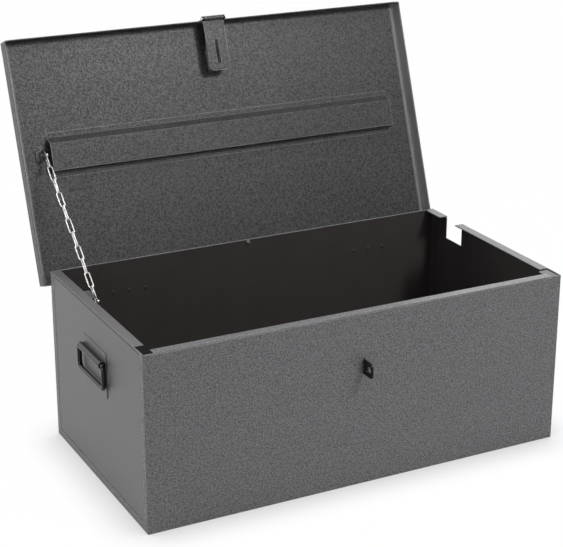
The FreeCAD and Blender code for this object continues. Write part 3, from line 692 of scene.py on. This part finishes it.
# %% [markdown]
# # Domed rivets
# Twelve rivets hold the hinges and two hold the hasp.  A real rivet head is a low dome, set by a hammer
# or a press, while the frame has flat discs.  So each rivet is a shank with a flattened ball at each end.
# Each row stands where its flat rivets were, along an axis through its sheet: level in the back wall,
# and tipped with the lid, which stands open.

# %% Rivets
RIVET_SIZES = {
    "Head Radius": 0.0036,
    "Head Height": 0.0012,
    "Shank Radius": 0.0020,
    "Stack": 0.0035,
}
DOME_SEGMENTS = 24
DOME_RINGS = 12
SHANK_SIDES = 16
HINGE_RIVETS_X = [side * x for side in (-1.0, 1.0) for x in (0.210, 0.240, 0.270)]
HASP_RIVETS_X = [-0.014, 0.014]
LID_ANGLE = math.radians(110.0)
WALL_AXIS = Vector((0.0, 1.0, 0.0))
LID_AXIS = Vector((0.0, -math.cos(LID_ANGLE), math.sin(LID_ANGLE)))

rivets = Growth("domed_rivets", ["Axis"] + list(RIVET_SIZES))
unit_ball = {"Segments": DOME_SEGMENTS, "Rings": DOME_RINGS, "Radius": 1.0}
ball = rivets.node("GeometryNodeMeshUVSphere", {}, unit_ball)
across = rivets.given("Head Radius")
dome = rivets.joined(across, across, rivets.given("Head Height"))
solids = []
for half in (0.5, -0.5):
    lift = rivets.joined(0.0, 0.0, half * rivets.given("Stack"))
    head = {"Geometry": ball, "Translation": lift, "Scale": dome}
    solids.append(rivets.node("GeometryNodeTransform", {}, head))
shank = {"Vertices": SHANK_SIDES, "Radius": rivets.given("Shank Radius"), "Depth": rivets.given("Stack")}
solids.append(rivets.node("GeometryNodeMeshCylinder", {}, shank))
solid = rivets.node("GeometryNodeJoinGeometry", {}, {"Geometry": solids})
axis = {"Vector": rivets.given("Axis")}
rivets.plant(solid, rivets.node("FunctionNodeAlignRotationToVector", {"axis": "Z"}, axis))


def set_rivets(name, node, body, finish, places_x, axis):
    """Domed rivets in place of a node's flat ones."""
    centre = middle(node)
    points = [(x, centre.y, centre.z) for x in places_x]
    piece = grow(name, points, rivets, dict(RIVET_SIZES, Axis=axis, Finish=finish))
    put(piece, node, body)


set_rivets(
    "wall_rivets", "hinge_body_rivets", "box", enamel_outside, HINGE_RIVETS_X, WALL_AXIS
)
set_rivets("lid_rivets", "hinge_lid_rivets", "lid", enamel, HINGE_RIVETS_X, LID_AXIS)
set_rivets("catch_rivets", "hasp_rivets", "lid", zinc, HASP_RIVETS_X, LID_AXIS)

# %% [markdown]
# # Chain links
# The chain is light: thin wire bent into narrow rings, each a quarter turn from the next.
# The frame's links are stouter.  Ours keep their inner length, so that each still hangs in the
# crown of its neighbour.  The centre line of every ring is a rectangle with fully rounded corners.

# %% Links
FRAME_WIRE = 0.0035
LINK_WIRE = 0.0022
LINK_WIDTH = 0.0102
QUARTER_TURN = math.radians(90.0)
WIRE_SIDES = 12
CORNER_STEPS = 8
# Just under a half, so that two neighbouring corners don't meet
CORNER_SHARE = 0.499

links = Growth("chain_links", ["Length", "Width", "Wire Radius", "Turn", "Slope"])
frame_line = {"Width": links.given("Width"), "Height": links.given("Length")}
line = links.node("GeometryNodeCurvePrimitiveQuadrilateral", {}, frame_line)
corner = {"Curve": line, "Count": CORNER_STEPS, "Radius": CORNER_SHARE * links.given("Width")}
line = links.node("GeometryNodeFilletCurve", {"mode": "POLY"}, corner)
section = {"Resolution": WIRE_SIDES, "Radius": links.given("Wire Radius")}
wire = links.node("GeometryNodeCurvePrimitiveCircle", {}, section)
ring = links.node("GeometryNodeCurveToMesh", {}, {"Curve": line, "Profile Curve": wire})
spin = links.joined(0.0, links.given("Turn"), 0.0)
ring = links.node("GeometryNodeTransform", {}, {"Geometry": ring, "Rotation": spin})
links.plant(ring, links.joined(links.given("Slope"), 0.0, 0.0))

chain_line = (middle("tab_chain_rivet") - middle("lug_chain_rivet")) * Vector((0.0, 1.0, 1.0))
chain_line.normalize()
chain_slope = math.atan2(chain_line.z, chain_line.y)


def set_link(node):
    """A thin wire link in place of a node, on the node's body of the same name."""
    low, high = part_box(node)
    stands = high[0] - low[0] < LINK_WIDTH / 2
    reach = [vertex.co.dot(chain_line) for vertex in nodes[node].data.vertices]
    length = max(reach) - min(reach) - 2 * FRAME_WIRE + LINK_WIRE
    values = {"Length": length, "Width": LINK_WIDTH - LINK_WIRE, "Wire Radius": LINK_WIRE / 2}
    values.update({"Turn": QUARTER_TURN if stands else 0.0, "Slope": chain_slope, "Finish": zinc})
    put(grow(node.replace("chain", "wire"), [middle(node)], links, values), node, node)


for node in sorted(name for name in nodes if name.startswith("chain_link")):
    set_link(node)

# %% [markdown]
# # The floor
# The floor is wide, pale and matt, and it joins the white sweep without a line.
# It only has to catch the shade close under the box, where little of the room's light gets in.
# Ambient Occlusion measures just that: how much of the sky a point of the floor can see.

# %% Floor
FLOOR_REACH = 12.0
FLOOR_DROP = 0.0005
FLOOR_WHITENESS = 0.99
SHADE_REACH = 0.08
SHADE_LEVEL = 0.45
SHADE_SAMPLES = 8
FLOOR_PATCH_SIZE = 0.8
FLOOR_DARK = grey(0.88)
FLOOR_LIGHT = grey(0.92)


def make_floor():
    """A pale plane under the box, white to the eye apart from the shade close to the box."""
    mesh = bpy.data.meshes.new("floor")
    signs = ((-1, -1), (1, -1), (1, 1), (-1, 1))
    corners = [(x * FLOOR_REACH, y * FLOOR_REACH, -FLOOR_DROP) for x, y in signs]
    mesh.from_pydata(corners, [], [(0, 1, 2, 3)])
    floor = bpy.data.objects.new("floor", mesh)
    scene.collection.objects.link(floor)
    finish = Finish("pale_floor")
    tone = finish.mixed(finish.noise(FLOOR_PATCH_SIZE), FLOOR_DARK, FLOOR_LIGHT)
    lit = finish.node("ShaderNodeBsdfDiffuse", {}, {"Color": tone})
    reach = {"Distance": SHADE_REACH}
    sky = finish.node("ShaderNodeAmbientOcclusion", {"samples": SHADE_SAMPLES}, reach, "AO")
    shade = finish.mixed(finish.spread(sky, low=0.15, high=0.95), grey(SHADE_LEVEL), grey(1.0))
    white = finish.node("ShaderNodeEmission", {}, {"Color": shade, "Strength": 1.0})
    by_eye = finish.node("ShaderNodeLightPath", {}, {}, "Is Camera Ray")
    by_gloss = finish.node("ShaderNodeLightPath", {}, {}, "Is Glossy Ray")
    seen = by_eye.maths("MAXIMUM", by_eye, by_gloss)
    floor.data.materials.append(finish.close(finish.either(FLOOR_WHITENESS * seen, lit, white)))


make_floor()

# %% [markdown]
# # Size
# The dressed box must fill the same space as the frame.
